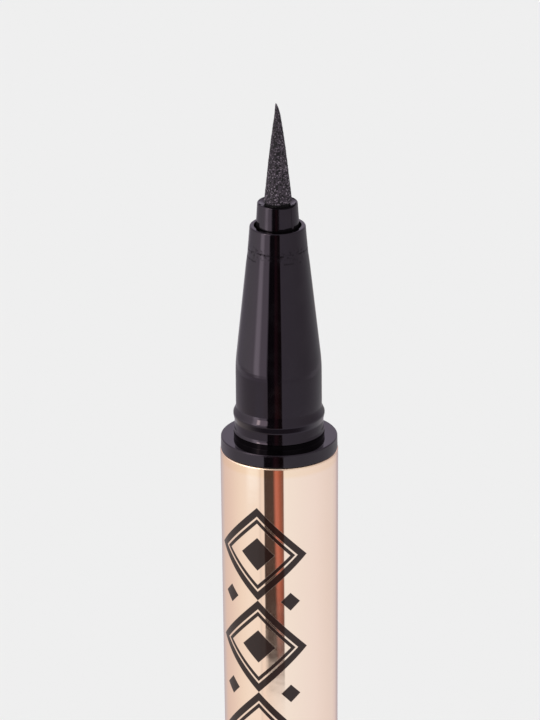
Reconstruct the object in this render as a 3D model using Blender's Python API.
"""Liquid eyeliner pen with a pointed felt nib, standing upright on its posted cap.

The pen is built along +Z. Its origin is the centre of the flat closed end of the cap, which it stands on.
A metallised barrel holds an ink cartridge with a mixing ball, a finned ink collector and a feed rod. A black
collar ring and a tapered front section close the barrel, and a small holder grips the nib. The cap sits on
the stub of the tail plug. Inside it a liner snaps over the front section's bead when the pen is closed, and
a sprung cup seals the nib.
"""

import math

import bmesh
import bpy
from mathutils import Vector

MM = 0.001

# Facets round the pieces, from the widest to the thinnest
WIDE_FACETS = 48
INNER_FACETS = 32
SLIM_FACETS = 24
BALL_FACETS = 16
ROD_FACETS = 12
FILLET_STEP = math.radians(45)
SHARP_EDGE = math.radians(35)
FILLET_REACH_SHARE = 0.49
WELD = 0.0001 * MM

# Clearances that the pieces share
SEAM = 0.05 * MM
PRESS_GAP = 0.05 * MM
OVERRUN = 1.0 * MM

# Barrel, drafted like the moulding it is: it narrows towards the tail
BARREL_LENGTH = 88.0 * MM
BARREL_MOUTH_RADIUS = 5.5 * MM
BARREL_TAPER = 0.54 * MM
BARREL_WALL = 0.9 * MM
BARREL_EDGE_ROUND = 0.1 * MM

# Collar ring between the barrel and the front section
RING_THICKNESS = 1.25 * MM
RING_SETBACK = 0.04 * MM
RING_DRAFT = 0.08 * MM
RING_EDGE_ROUND = 0.1 * MM
RING_FOOT_ROUND = 0.06 * MM
RING_SLEEVE_LENGTH = 4.5 * MM
RING_SLEEVE_WALL = 0.8 * MM
RING_BOSS_HEIGHT = 0.48 * MM
RING_BOSS_WALL = 0.53 * MM
RING_BOSS_UNDERCUT = 0.03 * MM

# Cap shell and the liner that snaps over the front section
CAP_WALL = 0.7 * MM
CAP_DRAFT = 0.4 * MM
CAP_END_WALL = 1.0 * MM
CAP_END_ROUND = 0.7 * MM
CAP_MOUTH_ROUND = 0.1 * MM
LINER_WALL = 0.44 * MM
LINER_LENGTH = 10.5 * MM
LINER_LIP_THICKNESS = 0.8 * MM
LINER_LIP_RISE = 0.35 * MM
SNAP_RISE = 0.1 * MM
SNAP_DEPTH = 1.15 * MM
SNAP_HALF_LENGTH = 0.5 * MM

# Front section: flared foot, neck, snap bead, straight body and cone, whose last stretch tapers less
SNAP_PLAY = 0.05 * MM
BEAD_RISE = 0.25 * MM
BEAD_CREST_HEIGHT = 2.3 * MM
BEAD_CREST_LENGTH = 0.2 * MM
BEAD_SLOPE_LENGTH = 0.55 * MM
BEAD_FALL_LENGTH = 0.56 * MM
BEAD_ROUND = 0.3 * MM
NECK_STEP = 0.115 * MM
NECK_DRAFT = 0.01 * MM
FOOT_HEIGHT = 0.75 * MM
CONE_FOOT_HEIGHT = 7.29 * MM
CONE_FOOT_ROUND = 17.0 * MM
CONE_SHOULDER_STEP = 0.135 * MM
CONE_SHOULDER_LENGTH = 1.0 * MM
FRONT_HEIGHT = 20.85 * MM
FRONT_TIP_WALL = 0.375 * MM
FRONT_TIP_ROUND = 0.14 * MM
FRONT_TIP_LENGTH = 2.7 * MM
FRONT_TIP_TAPER = 0.223 * MM
SPIGOT_REACH = 0.25 * MM
LOWER_SPIGOT_LENGTH = 7.0 * MM
LOWER_SPIGOT_WALL = 0.45 * MM
BORE_TAPER_LENGTH = 2.4 * MM

# Nib holder, which stands out of the cone's mouth
HOLDER_WALL = 0.6 * MM
HOLDER_STEP = 0.22 * MM
HOLDER_TAPER = 0.15 * MM
HOLDER_SEAT_DEPTH = 2.3 * MM
HOLDER_RISE = 2.27 * MM
HOLDER_TAIL_LENGTH = 9.5 * MM
HOLDER_EDGE_ROUND = 0.12 * MM
HOLDER_MOUTH_GAP = 0.2 * MM
HOLDER_DISH_DEPTH = 0.24 * MM
HOLDER_LIP_WIDTH = 0.2 * MM
AIR_SLOT_COUNT = 4
AIR_SLOT_WIDTH = 0.5 * MM
AIR_SLOT_DEPTH = 0.25 * MM
AIR_SLOT_TOP = 0.8 * MM

# Felt nib
NIB_SHANK_RADIUS = 1.15 * MM
NIB_SHOULDER_STEP = 0.16 * MM
NIB_STANDOFF = 0.05 * MM
NIB_CONE_LENGTH = 9.58 * MM
NIB_TIP_RADIUS = 0.04 * MM
NIB_FULLNESS = 0.74
NIB_RING_SHARES = (0.0, 0.12, 0.25, 0.38, 0.5, 0.62, 0.72, 0.81, 0.88, 0.935, 0.975)
NIB_OFFSET = 0.06 * MM
NIB_LEAN = 0.14 * MM
NIB_LEAN_START_SHARE = 0.85
NIB_SOCKET_DEPTH = 3.0 * MM

# Feed rod, from the ink into the nib
FEED_RADIUS = 0.55 * MM
FEED_DIP = 1.6 * MM

# Finned collector round the feed rod
FIN_COUNT = 12
FIN_PLAY = 0.12 * MM
FIN_THICKNESS_SHARE = 0.4
COLLECTOR_CORE_RADIUS = 1.15 * MM
COLLECTOR_DISC_THICKNESS = 2.0 * MM
COLLECTOR_NOSE_LENGTH = 2.2 * MM
COLLECTOR_NOSE_GAP = 1.2 * MM
INK_SLOT_WIDTH = 0.45 * MM
INK_SLOT_BITE = 0.25 * MM

# Ink cartridge, its plug and the mixing ball
CARTRIDGE_PLAY = 0.1 * MM
CARTRIDGE_WALL = 0.5 * MM
PLUG_FLANGE_THICKNESS = 1.0 * MM
PLUG_LENGTH = 4.0 * MM
PLUG_DISH_DEPTH = 0.6 * MM
PLUG_RIM_WIDTH = 0.6 * MM
BALL_RADIUS = 1.75 * MM
BALL_REST_GAP = 0.1 * MM

# Tail plug, with the stub that the cap is posted on
TAIL_FLANGE_THICKNESS = 1.0 * MM
TAIL_FLANGE_ROUND = 0.12 * MM
TAIL_SPIGOT_LENGTH = 6.0 * MM
STUB_END_PLAY = 0.7 * MM
STUB_PLAY = 0.06 * MM
STUB_END_ROUND = 0.4 * MM
STUB_WALL = 1.0 * MM
STUB_FLOOR = 1.0 * MM
GRIP_RIB_COUNT = 6
GRIP_RIB_RISE = 0.1 * MM
GRIP_RIB_WIDTH = 0.5 * MM
GRIP_RIB_MARGIN = 1.2 * MM

# Sprung cup that seals the nib inside the cap
CUP_WALL = 0.6 * MM
CUP_DRAFT = 0.4 * MM
CUP_FLOOR = 0.8 * MM
CUP_FLANGE_THICKNESS = 0.8 * MM
CUP_FLANGE_PLAY = 0.18 * MM
CUP_FLANGE_RISE = 0.42 * MM
CUP_LEAD_IN = 0.25 * MM
CUP_END_ROUND = 0.4 * MM
CUP_SPIGOT_LENGTH = 1.2 * MM
SEAL_PUSH = 1.5 * MM
TIP_CLEARANCE = 1.0 * MM

# Compression spring behind the cup
SPRING_LENGTH = 8.0 * MM
SPRING_WIRE_RADIUS = 0.25 * MM
SPRING_COIL_RADIUS = 2.2 * MM
SPRING_TURNS = 5.5
SPRING_POINTS_PER_TURN = 10
SPRING_SEAT_HEIGHT = 0.9 * MM
SPRING_SEAT_PLAY = 0.15 * MM

# Heights and depths of the front section, counted from the collar ring's top face
neck_base = RING_BOSS_HEIGHT + SEAM
holder_seat = FRONT_HEIGHT - HOLDER_SEAT_DEPTH
holder_top = FRONT_HEIGHT + HOLDER_RISE
holder_end = holder_seat - HOLDER_TAIL_LENGTH
collector_bore_top = holder_end - COLLECTOR_NOSE_GAP - COLLECTOR_NOSE_LENGTH
nib_base = holder_top + NIB_STANDOFF
nib_tip = nib_base + NIB_CONE_LENGTH
spigot_step = -(RING_THICKNESS + RING_SLEEVE_LENGTH + SPIGOT_REACH)
spigot_end = spigot_step - LOWER_SPIGOT_LENGTH

# Lengths along the cap, counted from its mouth
cup_mouth_depth = LINER_LENGTH + SEAM
cup_end_depth = nib_tip + TIP_CLEARANCE - SEAL_PUSH + CUP_FLOOR
cap_length = cup_end_depth + SPRING_LENGTH + CAP_END_WALL
stub_length = LINER_LENGTH - LINER_LIP_THICKNESS - STUB_END_PLAY

# Heights of the whole pen, counted from the closed end of the cap
cap_mouth_z = cap_length
tail_flange_z = cap_mouth_z + SEAM
barrel_z = tail_flange_z + TAIL_FLANGE_THICKNESS + SEAM
ring_z = barrel_z + BARREL_LENGTH + SEAM
front_z = ring_z + RING_THICKNESS
collector_z = front_z + spigot_end - SEAM - COLLECTOR_DISC_THICKNESS
cartridge_plug_z = barrel_z + TAIL_SPIGOT_LENGTH
cartridge_z = cartridge_plug_z + PLUG_FLANGE_THICKNESS + SEAM
cartridge_length = front_z + spigot_step - SEAM - cartridge_z
ball_z = cartridge_plug_z + PLUG_FLANGE_THICKNESS + PLUG_LENGTH + BALL_REST_GAP + BALL_RADIUS
feed_z = collector_z - FEED_DIP
feed_length = front_z + holder_end + NIB_SOCKET_DEPTH - SEAM - feed_z


def barrel_radius_at(height):
    """Outer radius of the barrel at a height above its tail."""
    return BARREL_MOUTH_RADIUS - BARREL_TAPER * (1 - height / BARREL_LENGTH)


def cap_radius_at(depth):
    """Outer radius of the cap shell at a depth below its mouth."""
    return BARREL_MOUTH_RADIUS - CAP_DRAFT * depth / cap_length


# Radii that follow from the barrel, working inwards
barrel_tail_bore = barrel_radius_at(0) - BARREL_WALL
ring_sleeve_radius = barrel_radius_at(BARREL_LENGTH - RING_SLEEVE_LENGTH) - BARREL_WALL - PRESS_GAP
ring_bore = ring_sleeve_radius - RING_SLEEVE_WALL
upper_spigot_radius = ring_bore - PRESS_GAP
cartridge_radius = barrel_tail_bore - CARTRIDGE_PLAY
cartridge_bore = cartridge_radius - CARTRIDGE_WALL
lower_spigot_radius = cartridge_bore - PRESS_GAP
collector_bore = lower_spigot_radius - LOWER_SPIGOT_WALL

# Radii that follow from the cap, working inwards
liner_bore = BARREL_MOUTH_RADIUS - CAP_WALL - PRESS_GAP - LINER_WALL
snap_bore = liner_bore - SNAP_RISE
bead_radius = liner_bore - SNAP_PLAY
body_radius = bead_radius - BEAD_RISE
neck_radius = bead_radius - NECK_STEP
grip_rib_radius = snap_bore - STUB_PLAY
stub_radius = grip_rib_radius - GRIP_RIB_RISE
spring_pilot_radius = SPRING_COIL_RADIUS - SPRING_WIRE_RADIUS - SPRING_SEAT_PLAY

# Radii that follow from the nib and the feed rod, working outwards
holder_bore = NIB_SHANK_RADIUS + PRESS_GAP
holder_radius = holder_bore + HOLDER_WALL
holder_seat_bore = holder_radius + PRESS_GAP
holder_foot_radius = holder_radius + HOLDER_STEP
front_mouth_bore = holder_foot_radius + HOLDER_MOUTH_GAP
front_tip_radius = front_mouth_bore + FRONT_TIP_WALL
holder_top_radius = holder_foot_radius - HOLDER_TAPER
feed_bore = FEED_RADIUS + PRESS_GAP


def finish(name, colour, roughness, metallic=0.0, transmission=0.0):
    """A plain Principled material."""
    material = bpy.data.materials.new(name)
    material.use_nodes = True
    shader = material.node_tree.nodes["Principled BSDF"]
    shader.inputs["Base Color"].default_value = (*colour, 1.0)
    shader.inputs["Roughness"].default_value = roughness
    shader.inputs["Metallic"].default_value = metallic
    shader.inputs["Transmission Weight"].default_value = transmission
    material.diffuse_color = (*colour, 1.0)
    return material


def fillet_arc(corner, before, after, radius):
    """Points of the arc that rounds a corner. The radius gives way where a side is too short for it."""
    half_turn = (math.pi - before.angle(after)) / 2
    shortest_side = min(before.length, after.length)
    reach = min(radius * math.tan(half_turn), FILLET_REACH_SHARE * shortest_side)
    radius = reach / math.tan(half_turn)
    toward_centre = (before.normalized() + after.normalized()).normalized()
    centre = corner + toward_centre * (radius / math.cos(half_turn))
    first_arm = (corner + before.normalized() * reach - centre).normalized()
    last_arm = (corner + after.normalized() * reach - centre).normalized()
    steps = max(2, math.ceil(2 * half_turn / FILLET_STEP))
    return [centre + first_arm.slerp(last_arm, step / steps) * radius for step in range(steps + 1)]


def filleted(corners):
    """The outline through corners of (radius, height) or (radius, height, fillet)."""
    outline = []
    for index, (radius, height, *fillet) in enumerate(corners):
        corner = Vector((radius, height))
        if not fillet:
            outline.append(corner)
            continue
        before = Vector(corners[index - 1][:2]) - corner
        after = Vector(corners[(index + 1) % len(corners)][:2]) - corner
        outline += fillet_arc(corner, before, after, fillet[0])
    return outline


def piece_from(name, shape, material):
    """The object made from a finished bmesh. Round faces look round, and hard corners stay hard."""
    mesh = bpy.data.meshes.new(name)
    shape.to_mesh(mesh)
    shape.free()
    mesh.shade_smooth()
    mesh.set_sharp_from_angle(angle=SHARP_EDGE)
    mesh.materials.append(material)
    piece = bpy.data.objects.new(name, mesh)
    bpy.context.collection.objects.link(piece)
    return piece


def turned(name, corners, facets, material, hollow=False):
    """A piece turned about Z. A solid's outline runs from the axis at the top, out, down and back to the axis.

    A hollow piece's outline is a closed loop, down the outside and up the bore.
    """
    outline = filleted(corners)
    shape = bmesh.new()
    points = [shape.verts.new((point.x, 0, point.y)) for point in outline]
    following = points[1:] + points[:1] if hollow else points[1:]
    sides = [shape.edges.new(pair) for pair in zip(points, following)]
    bmesh.ops.spin(
        shape, geom=points + sides, cent=(0, 0, 0), axis=(0, 0, 1), angle=math.tau, steps=facets, use_merge=True
    )
    bmesh.ops.remove_doubles(shape, verts=shape.verts, dist=WELD)
    bmesh.ops.recalc_face_normals(shape, faces=shape.faces)
    return piece_from(name, shape, material)


def spokes(name, count, inner, outer, width, low, high):
    """Radial blocks spread evenly round Z: a helper to cut or add with, which isn't a piece of the pen."""
    shape = bmesh.new()
    for turn in range(count):
        angle = math.tau * turn / count
        along = Vector((math.cos(angle), math.sin(angle), 0))
        across = Vector((-math.sin(angle), math.cos(angle), 0)) * (width / 2)
        corners = [
            shape.verts.new(along * radius + across * side + Vector((0, 0, height)))
            for height in (low, high)
            for radius, side in ((inner, -1), (outer, -1), (outer, 1), (inner, 1))
        ]
        bmesh.ops.convex_hull(shape, input=corners)
    bmesh.ops.recalc_face_normals(shape, faces=shape.faces)
    mesh = bpy.data.meshes.new(name)
    shape.to_mesh(mesh)
    shape.free()
    helper = bpy.data.objects.new(name, mesh)
    bpy.context.collection.objects.link(helper)
    helper.hide_render = True
    helper.display_type = "WIRE"
    return helper


def combine(piece, helper, operation):
    """Cuts the helper out of the piece, or joins it on, with the helper carried along."""
    helper.parent = piece
    modifier = piece.modifiers.new(helper.name, "BOOLEAN")
    modifier.operation = operation
    modifier.solver = "EXACT"
    modifier.object = helper


def height_of(frame):
    """Height of a frame above the closed end of the cap, through the frames that carry it."""
    return frame.location.z + (height_of(frame.parent) if frame.parent else 0)


def place(item, height, carrier):
    """Stands a piece or a frame at its height on the axis, carried by a frame."""
    item.parent = carrier
    item.location.z = height - height_of(carrier)


def frame_at(name, height, carrier=None):
    """An empty on the axis that carries the pieces of one moving body."""
    frame = bpy.data.objects.new(name, None)
    bpy.context.collection.objects.link(frame)
    if carrier:
        place(frame, height, carrier)
    else:
        frame.location.z = height
    return frame


def barrel(material):
    """Drafted tube, open at both ends. Its base is the tail."""
    tail_radius = barrel_radius_at(0)
    mouth_bore = BARREL_MOUTH_RADIUS - BARREL_WALL
    corners = [
        (BARREL_MOUTH_RADIUS, BARREL_LENGTH, BARREL_EDGE_ROUND),
        (tail_radius, 0, BARREL_EDGE_ROUND),
        (barrel_tail_bore, 0),
        (mouth_bore, BARREL_LENGTH),
    ]
    return turned("barrel", corners, WIDE_FACETS, material, hollow=True)


def collar_ring(material):
    """Flange between barrel and front section. Its base is the flange's underside."""
    boss_radius = ring_bore + RING_BOSS_WALL
    boss_foot_radius = boss_radius - RING_BOSS_UNDERCUT
    boss_top = RING_THICKNESS + RING_BOSS_HEIGHT
    foot_radius = BARREL_MOUTH_RADIUS - RING_SETBACK
    corners = [
        (boss_radius, boss_top),
        (boss_foot_radius, RING_THICKNESS),
        (foot_radius - RING_DRAFT, RING_THICKNESS, RING_EDGE_ROUND),
        (foot_radius, 0, RING_FOOT_ROUND),
        (ring_sleeve_radius, 0),
        (ring_sleeve_radius, -RING_SLEEVE_LENGTH),
        (ring_bore, -RING_SLEEVE_LENGTH),
        (ring_bore, boss_top),
    ]
    return turned("collar_ring", corners, WIDE_FACETS, material, hollow=True)


def front_section(material):
    """Tapered front with its snap bead, neck and foot. Its base is the collar ring's top face."""
    bead_top = BEAD_CREST_HEIGHT + BEAD_CREST_LENGTH / 2
    bead_bottom = BEAD_CREST_HEIGHT - BEAD_CREST_LENGTH / 2
    tip_foot_radius = front_tip_radius + FRONT_TIP_TAPER
    tip_foot = FRONT_HEIGHT - FRONT_TIP_LENGTH
    corners = [
        (front_tip_radius, FRONT_HEIGHT, FRONT_TIP_ROUND),
        (tip_foot_radius, tip_foot),
        (tip_foot_radius + CONE_SHOULDER_STEP, tip_foot - CONE_SHOULDER_LENGTH),
        (body_radius, CONE_FOOT_HEIGHT, CONE_FOOT_ROUND),
        (body_radius, bead_top + BEAD_SLOPE_LENGTH, BEAD_ROUND),
        (bead_radius, bead_top, BEAD_ROUND),
        (bead_radius, bead_bottom, BEAD_ROUND),
        (neck_radius, bead_bottom - BEAD_FALL_LENGTH, BEAD_ROUND),
        (neck_radius + NECK_DRAFT, FOOT_HEIGHT),
        (bead_radius, neck_base),
        (upper_spigot_radius, neck_base),
        (upper_spigot_radius, spigot_step),
        (lower_spigot_radius, spigot_step),
        (lower_spigot_radius, spigot_end),
        (collector_bore, spigot_end),
        (collector_bore, collector_bore_top),
        (holder_seat_bore, collector_bore_top + BORE_TAPER_LENGTH),
        (holder_seat_bore, holder_seat),
        (front_mouth_bore, holder_seat),
        (front_mouth_bore, FRONT_HEIGHT),
    ]
    return turned("front_section", corners, WIDE_FACETS, material, hollow=True)


def nib_holder(material):
    """Sleeve that grips the nib, with air slots down its tail. Its base is its seat in the front section."""
    top = holder_top - holder_seat
    corners = [
        (holder_top_radius, top, HOLDER_EDGE_ROUND),
        (holder_foot_radius, HOLDER_SEAT_DEPTH),
        (holder_foot_radius, SEAM),
        (holder_radius, SEAM),
        (holder_radius, -HOLDER_TAIL_LENGTH),
        (holder_bore, -HOLDER_TAIL_LENGTH),
        (holder_bore, top - HOLDER_DISH_DEPTH),
        (holder_top_radius - HOLDER_LIP_WIDTH, top),
    ]
    piece = turned("nib_holder", corners, SLIM_FACETS, material, hollow=True)
    slots = spokes(
        "air_slot_cutter",
        AIR_SLOT_COUNT,
        holder_radius - AIR_SLOT_DEPTH,
        holder_radius + OVERRUN,
        AIR_SLOT_WIDTH,
        -HOLDER_TAIL_LENGTH - OVERRUN,
        -AIR_SLOT_TOP,
    )
    combine(piece, slots, "DIFFERENCE")
    return piece


def nib(material):
    """Pointed felt nib, socketed on the feed rod. Its base is the cone's shoulder, just over the holder."""
    base_radius = NIB_SHANK_RADIUS + NIB_SHOULDER_STEP
    cone = [
        (
            NIB_TIP_RADIUS + (base_radius - NIB_TIP_RADIUS) * (1 - share) ** NIB_FULLNESS,
            NIB_CONE_LENGTH * share,
        )
        for share in reversed(NIB_RING_SHARES)
    ]
    shank_end = holder_end - nib_base
    corners = [
        (0, NIB_CONE_LENGTH),
        (NIB_TIP_RADIUS, NIB_CONE_LENGTH),
        *cone,
        (NIB_SHANK_RADIUS, 0),
        (NIB_SHANK_RADIUS, shank_end),
        (feed_bore, shank_end),
        (feed_bore, shank_end + NIB_SOCKET_DEPTH),
        (0, shank_end + NIB_SOCKET_DEPTH),
    ]
    piece = turned("nib", corners, SLIM_FACETS, material)
    lean_start = NIB_CONE_LENGTH * NIB_LEAN_START_SHARE
    for point in piece.data.vertices:
        if point.co.z < -WELD:
            continue
        along = max(0, (point.co.z - lean_start) / (NIB_CONE_LENGTH - lean_start))
        point.co.x += NIB_OFFSET - NIB_LEAN * along * along
    return piece


def feed_rod(material):
    """Capillary rod. Its base is its end in the ink."""
    corners = [(0, feed_length), (FEED_RADIUS, feed_length), (FEED_RADIUS, 0), (0, 0)]
    return turned("feed_rod", corners, ROD_FACETS, material)


def ink_collector(material):
    """Comb of fins that holds spare ink, on a disc that closes the cartridge. Its base is the disc's underside."""
    disc_top = COLLECTOR_DISC_THICKNESS
    fins_top = front_z + collector_bore_top - collector_z
    fin_radius = collector_bore - FIN_PLAY
    nose_top = fins_top + COLLECTOR_NOSE_LENGTH
    fin_pitch = (fins_top - disc_top) / FIN_COUNT
    fin_thickness = fin_pitch * FIN_THICKNESS_SHARE
    comb = []
    for fin in range(FIN_COUNT):
        fin_top = fins_top - fin * fin_pitch
        comb += [
            (COLLECTOR_CORE_RADIUS, fin_top),
            (fin_radius, fin_top),
            (fin_radius, fin_top - fin_thickness),
            (COLLECTOR_CORE_RADIUS, fin_top - fin_thickness),
        ]
    corners = [
        (feed_bore, nose_top),
        (COLLECTOR_CORE_RADIUS, nose_top),
        *comb,
        (COLLECTOR_CORE_RADIUS, disc_top),
        (lower_spigot_radius, disc_top),
        (lower_spigot_radius, 0),
        (feed_bore, 0),
    ]
    piece = turned("ink_collector", corners, SLIM_FACETS, material, hollow=True)
    slot = spokes(
        "ink_slot_cutter",
        1,
        COLLECTOR_CORE_RADIUS - INK_SLOT_BITE,
        lower_spigot_radius + OVERRUN,
        INK_SLOT_WIDTH,
        -OVERRUN,
        fins_top + OVERRUN,
    )
    combine(piece, slot, "DIFFERENCE")
    return piece


def cartridge_tube(material):
    """Ink cartridge, pushed over the front section's lower spigot. Its base is its tail end."""
    corners = [
        (cartridge_radius, cartridge_length),
        (cartridge_radius, 0),
        (cartridge_bore, 0),
        (cartridge_bore, cartridge_length),
    ]
    return turned("cartridge_tube", corners, INNER_FACETS, material, hollow=True)


def cartridge_plug(material):
    """Flanged plug with a dish that the ball rests in. Its base is the flange's underside."""
    top = PLUG_FLANGE_THICKNESS + PLUG_LENGTH
    dish_radius = lower_spigot_radius - PLUG_RIM_WIDTH
    corners = [
        (0, top - PLUG_DISH_DEPTH),
        (dish_radius, top),
        (lower_spigot_radius, top),
        (lower_spigot_radius, PLUG_FLANGE_THICKNESS),
        (cartridge_radius, PLUG_FLANGE_THICKNESS),
        (cartridge_radius, 0),
        (0, 0),
    ]
    return turned("cartridge_plug", corners, INNER_FACETS, material)


def mixing_ball(material):
    """Steel ball that stirs the ink when the pen is shaken. Its origin is its centre."""
    shape = bmesh.new()
    bmesh.ops.create_uvsphere(shape, u_segments=BALL_FACETS, v_segments=BALL_FACETS // 2, radius=BALL_RADIUS)
    return piece_from("mixing_ball", shape, material)


def tail_plug(material):
    """Plug that closes the barrel, with a ribbed hollow stub for the cap. Its base is the flange's underside."""
    spigot_radius = barrel_tail_bore - PRESS_GAP
    spigot_top = TAIL_FLANGE_THICKNESS + TAIL_SPIGOT_LENGTH
    core_radius = stub_radius - STUB_WALL
    corners = [
        (0, spigot_top),
        (spigot_radius, spigot_top),
        (spigot_radius, TAIL_FLANGE_THICKNESS),
        (barrel_radius_at(0), TAIL_FLANGE_THICKNESS, TAIL_FLANGE_ROUND),
        (barrel_radius_at(0), 0, TAIL_FLANGE_ROUND),
        (stub_radius, 0),
        (stub_radius, -stub_length, STUB_END_ROUND),
        (core_radius, -stub_length),
        (core_radius, -STUB_FLOOR),
        (0, -STUB_FLOOR),
    ]
    piece = turned("tail_plug", corners, INNER_FACETS, material)
    ribs = spokes(
        "grip_rib_helper",
        GRIP_RIB_COUNT,
        stub_radius - STUB_WALL / 2,
        grip_rib_radius,
        GRIP_RIB_WIDTH,
        -stub_length + GRIP_RIB_MARGIN,
        -GRIP_RIB_MARGIN,
    )
    combine(piece, ribs, "UNION")
    return piece


def cap_shell(material):
    """Outer cap, closed at its base, which the pen stands on, with a raised seat for the spring."""
    end_radius = cap_radius_at(cap_length)
    corners = [
        (0, CAP_END_WALL + SPRING_SEAT_HEIGHT),
        (spring_pilot_radius, CAP_END_WALL + SPRING_SEAT_HEIGHT),
        (spring_pilot_radius, CAP_END_WALL),
        (end_radius - CAP_WALL, CAP_END_WALL),
        (BARREL_MOUTH_RADIUS - CAP_WALL, cap_length),
        (BARREL_MOUTH_RADIUS, cap_length, CAP_MOUTH_ROUND),
        (end_radius, 0, CAP_END_ROUND),
        (0, 0),
    ]
    return turned("cap_shell", corners, WIDE_FACETS, material)


def cap_liner(material):
    """Sleeve with the snap ring and the lip that stops the cup. Its base is its inner end."""
    mouth_radius = BARREL_MOUTH_RADIUS - CAP_WALL - PRESS_GAP
    inner_radius = cap_radius_at(LINER_LENGTH) - CAP_WALL - PRESS_GAP
    snap_z = LINER_LENGTH - SNAP_DEPTH
    corners = [
        (mouth_radius, LINER_LENGTH),
        (inner_radius, 0),
        (liner_bore - LINER_LIP_RISE, 0),
        (liner_bore - LINER_LIP_RISE, LINER_LIP_THICKNESS),
        (liner_bore, LINER_LIP_THICKNESS),
        (liner_bore, snap_z - SNAP_HALF_LENGTH),
        (snap_bore, snap_z),
        (liner_bore, snap_z + SNAP_HALF_LENGTH),
        (liner_bore, LINER_LENGTH),
    ]
    return turned("cap_liner", corners, INNER_FACETS, material, hollow=True)


def seal_cup(material):
    """Cup that slides in the cap and seals the nib. Its base is its closed end, without the spring spigot."""
    height = cup_end_depth - cup_mouth_depth
    flange_radius = cap_radius_at(cup_mouth_depth + CUP_FLANGE_THICKNESS) - CAP_WALL - CUP_FLANGE_PLAY
    body_top_radius = flange_radius - CUP_FLANGE_RISE
    body_end_radius = body_top_radius - CUP_DRAFT
    mouth_radius = body_top_radius - CUP_WALL
    corners = [
        (0, CUP_FLOOR),
        (body_end_radius - CUP_WALL, CUP_FLOOR),
        (mouth_radius, height - CUP_LEAD_IN),
        (mouth_radius + CUP_LEAD_IN, height),
        (flange_radius, height),
        (flange_radius, height - CUP_FLANGE_THICKNESS),
        (body_top_radius, height - CUP_FLANGE_THICKNESS),
        (body_end_radius, 0, CUP_END_ROUND),
        (spring_pilot_radius, 0),
        (spring_pilot_radius, -CUP_SPIGOT_LENGTH),
        (0, -CUP_SPIGOT_LENGTH),
    ]
    return turned("seal_cup", corners, INNER_FACETS, material)


def seal_spring(material):
    """Round-wire compression spring. Its base is the cap's inner end."""
    rise = SPRING_LENGTH - 2 * (SPRING_WIRE_RADIUS + SEAM)
    steps = round(SPRING_TURNS * SPRING_POINTS_PER_TURN)
    route = []
    for step in range(steps + 1):
        angle = math.tau * SPRING_TURNS * step / steps
        height = SPRING_WIRE_RADIUS + SEAM + rise * step / steps
        route.append(Vector((SPRING_COIL_RADIUS * math.cos(angle), SPRING_COIL_RADIUS * math.sin(angle), height)))
    curve = bpy.data.curves.new("seal_spring", "CURVE")
    curve.dimensions = "3D"
    curve.bevel_depth = SPRING_WIRE_RADIUS
    curve.bevel_resolution = 1
    curve.use_fill_caps = True
    spline = curve.splines.new("POLY")
    spline.points.add(steps)
    for point, position in zip(spline.points, route):
        point.co = (*position, 1.0)
    curve.materials.append(material)
    piece = bpy.data.objects.new("seal_spring", curve)
    bpy.context.collection.objects.link(piece)
    print("seal_spring: least gap between turns", round(least_gap(route) / MM, 3), "mm")
    return piece


def least_gap(route):
    """Smallest free distance between one turn of the spring's wire and the next."""
    half_turn = SPRING_POINTS_PER_TURN // 2
    nearest = min(
        (route[first] - route[second]).length
        for first in range(len(route))
        for second in range(first + half_turn, len(route))
    )
    return nearest - 2 * SPRING_WIRE_RADIUS


def build():
    """The whole pen, one named object for each piece."""
    rose_gold = finish("rose gold metallised", (0.88, 0.62, 0.48), 0.16, metallic=1.0)
    gloss_black = finish("gloss black plastic", (0.012, 0.011, 0.013), 0.18)
    felt_black = finish("inked felt", (0.02, 0.018, 0.02), 0.95)
    natural = finish("natural polypropylene", (0.78, 0.79, 0.78), 0.4, transmission=0.3)
    comb_white = finish("white moulded comb", (0.8, 0.8, 0.79), 0.45)
    feed_fibre = finish("inked feed fibre", (0.03, 0.028, 0.03), 0.9)
    steel = finish("polished steel", (0.62, 0.62, 0.63), 0.15, metallic=1.0)
    spring_steel = finish("spring steel", (0.5, 0.5, 0.52), 0.3, metallic=1.0)

    pen = frame_at("pen_frame", tail_flange_z)
    cap = frame_at("cap_frame", cap_mouth_z, pen)
    seal = frame_at("seal_frame", cap_mouth_z - cup_mouth_depth, cap)
    stirrer = frame_at("ball_frame", ball_z, pen)

    place(barrel(rose_gold), barrel_z, pen)
    place(collar_ring(gloss_black), ring_z, pen)
    place(front_section(gloss_black), front_z, pen)
    place(nib_holder(gloss_black), front_z + holder_seat, pen)
    place(nib(felt_black), front_z + nib_base, pen)
    place(ink_collector(comb_white), collector_z, pen)
    place(feed_rod(feed_fibre), feed_z, pen)
    place(cartridge_tube(natural), cartridge_z, pen)
    place(cartridge_plug(natural), cartridge_plug_z, pen)
    place(tail_plug(gloss_black), tail_flange_z, pen)
    place(mixing_ball(steel), ball_z, stirrer)
    place(cap_shell(rose_gold), 0, cap)
    place(cap_liner(gloss_black), cap_mouth_z - LINER_LENGTH, cap)
    place(seal_spring(spring_steel), CAP_END_WALL, cap)
    place(seal_cup(natural), cap_mouth_z - cup_end_depth, seal)


def clear_scene():
    """Removes what the file opened with."""
    for leftover in list(bpy.data.objects):
        bpy.data.objects.remove(leftover)


clear_scene()
build()
